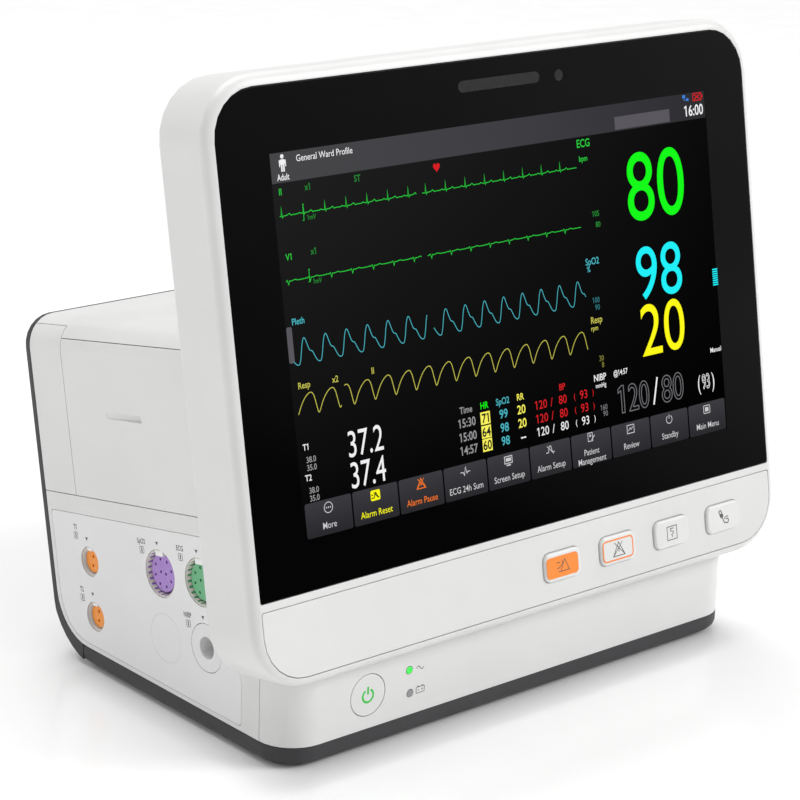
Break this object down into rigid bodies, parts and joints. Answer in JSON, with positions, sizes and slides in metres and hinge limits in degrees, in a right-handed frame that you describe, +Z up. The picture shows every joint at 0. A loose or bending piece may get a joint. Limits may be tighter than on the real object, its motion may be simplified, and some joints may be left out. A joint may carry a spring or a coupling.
{
  "type": "patient monitor",
  "caption": "Bedside patient monitor: a display head tilted back over a low body with side sockets, front keys, side recorder and battery doors.",
  "frame": {"origin": "centre of the bounding box at the surface the feet stand on", "axes": "+X to the right of the display as its viewer sees it, +Y away from the viewer, +Z up"},
  "size_m": [0.2704, 0.1768, 0.2491],
  "materials": {
    "white_housing": "fine satin moulded ABS, off-white",
    "black_glass": "black-printed cover glass, glossy",
    "display": "liquid crystal panel face",
    "sheet_steel": "zinc-plated sheet and screws",
    "light_guide": "smoked clear acrylic",
    "orange_key": "orange printed key face",
    "circuit_board": "green solder mask",
    "dark_cover": "dark grey fine-textured plastic",
    "rubber": "soft black rubber",
    "orange_socket": "orange socket insert",
    "purple_socket": "violet socket insert",
    "green_socket": "green socket insert",
    "battery_case": "dark battery case",
    "black_plastic": "black moulded plastic",
    "brass": "plated brass",
    "paper": "white thermal paper"
  },
  "bodies": {
    "root": {"front_housing": "white_housing", "keypad_panel": "white_housing", "head_back": "white_housing", "top_cover": "white_housing", "connector_panel": "white_housing", "connector_overlay": "white_housing", "module_blank": "white_housing", "recorder_panel": "white_housing", "rear_strip_left": "white_housing", "rear_strip_right": "white_housing", "right_panel": "white_housing", "chin_housing": "white_housing", "pressure_blank": "white_housing", "cuff_port": "white_housing", "cover_glass": "black_glass", "display_panel": "display", "display_bracket": "sheet_steel", "head_screw_1": "sheet_steel", "head_screw_2": "sheet_steel", "base_screw_1": "sheet_steel", "base_screw_2": "sheet_steel", "rear_screw_1": "sheet_steel", "rear_screw_2": "sheet_steel", "rear_screw_3": "sheet_steel", "rear_screw_4": "sheet_steel", "main_frame": "sheet_steel", "interface_board": "sheet_steel", "print_head": "sheet_steel", "alarm_light_guide": "light_guide", "status_light_pipe": "light_guide", "key_board": "circuit_board", "power_board": "circuit_board", "main_board": "circuit_board", "power_supply": "circuit_board", "base_plate": "dark_cover", "rear_cover": "dark_cover", "foot_1": "rubber", "foot_2": "rubber", "foot_3": "rubber", "foot_4": "rubber", "temperature_socket_1": "orange_socket", "temperature_socket_2": "orange_socket", "spo2_socket": "purple_socket", "ecg_socket": "green_socket", "battery_pack": "battery_case", "parameter_module": "black_plastic", "cuff_pump": "black_plastic", "speaker": "black_plastic", "power_inlet": "black_plastic", "recorder_tub": "black_plastic", "earth_stud": "brass"},
    "key_alarm_reset": {"key_alarm_reset": "orange_key"},
    "key_alarm_pause": {"key_alarm_pause": "white_housing"},
    "key_record": {"key_record": "white_housing"},
    "key_cuff_start": {"key_cuff_start": "white_housing"},
    "power_button": {"power_button": "white_housing"},
    "recorder_door": {"recorder_door": "white_housing"},
    "platen_roller": {"platen_roller": "rubber"},
    "paper_roll": {"paper_roll": "paper"},
    "battery_door": {"battery_door": "white_housing"}
  },
  "joints": [
    {"name": "alarm_reset_press", "type": "slide", "parent": "root", "child": "key_alarm_reset", "axis": [0, 0.9843, -0.1762], "range_m": [0, 0.0008], "stiffness_N_per_m": 2000},
    {"name": "alarm_pause_press", "type": "slide", "parent": "root", "child": "key_alarm_pause", "axis": [0, 0.9843, -0.1762], "range_m": [0, 0.0008], "stiffness_N_per_m": 2000},
    {"name": "record_press", "type": "slide", "parent": "root", "child": "key_record", "axis": [0, 0.9843, -0.1762], "range_m": [0, 0.0008], "stiffness_N_per_m": 2000},
    {"name": "cuff_start_press", "type": "slide", "parent": "root", "child": "key_cuff_start", "axis": [0, 0.9843, -0.1762], "range_m": [0, 0.0008], "stiffness_N_per_m": 2000},
    {"name": "power_press", "type": "slide", "parent": "root", "child": "power_button", "axis": [0, 1, 0], "range_m": [0, 0.001], "stiffness_N_per_m": 1500},
    {"name": "recorder_door_hinge", "type": "hinge", "parent": "root", "child": "recorder_door", "pos_m": [0.1163, -0.0214, 0.09141], "axis": [0, 0.9843, -0.1762], "range_deg": [0, 85]},
    {"name": "paper_roll_spin", "type": "hinge", "parent": "root", "child": "paper_roll", "pos_m": [0.089, -0.01863, 0.10687], "axis": [0, 0.9843, -0.1762], "continuous": true},
    {"name": "platen_spin", "type": "hinge", "parent": "recorder_door", "child": "platen_roller", "pos_m": [0.106, -0.01546, 0.12458], "axis": [0, 0.9843, -0.1762], "continuous": true},
    {"name": "battery_door_hinge", "type": "hinge", "parent": "root", "child": "battery_door", "pos_m": [0.1164, -0.03787, 0.0147], "axis": [0, 1, 0], "range_deg": [0, 90]}
  ],
  "couplings": [
    {"joint": "platen_spin", "follows": "paper_roll_spin", "ratio": -2.8889}
  ]
}
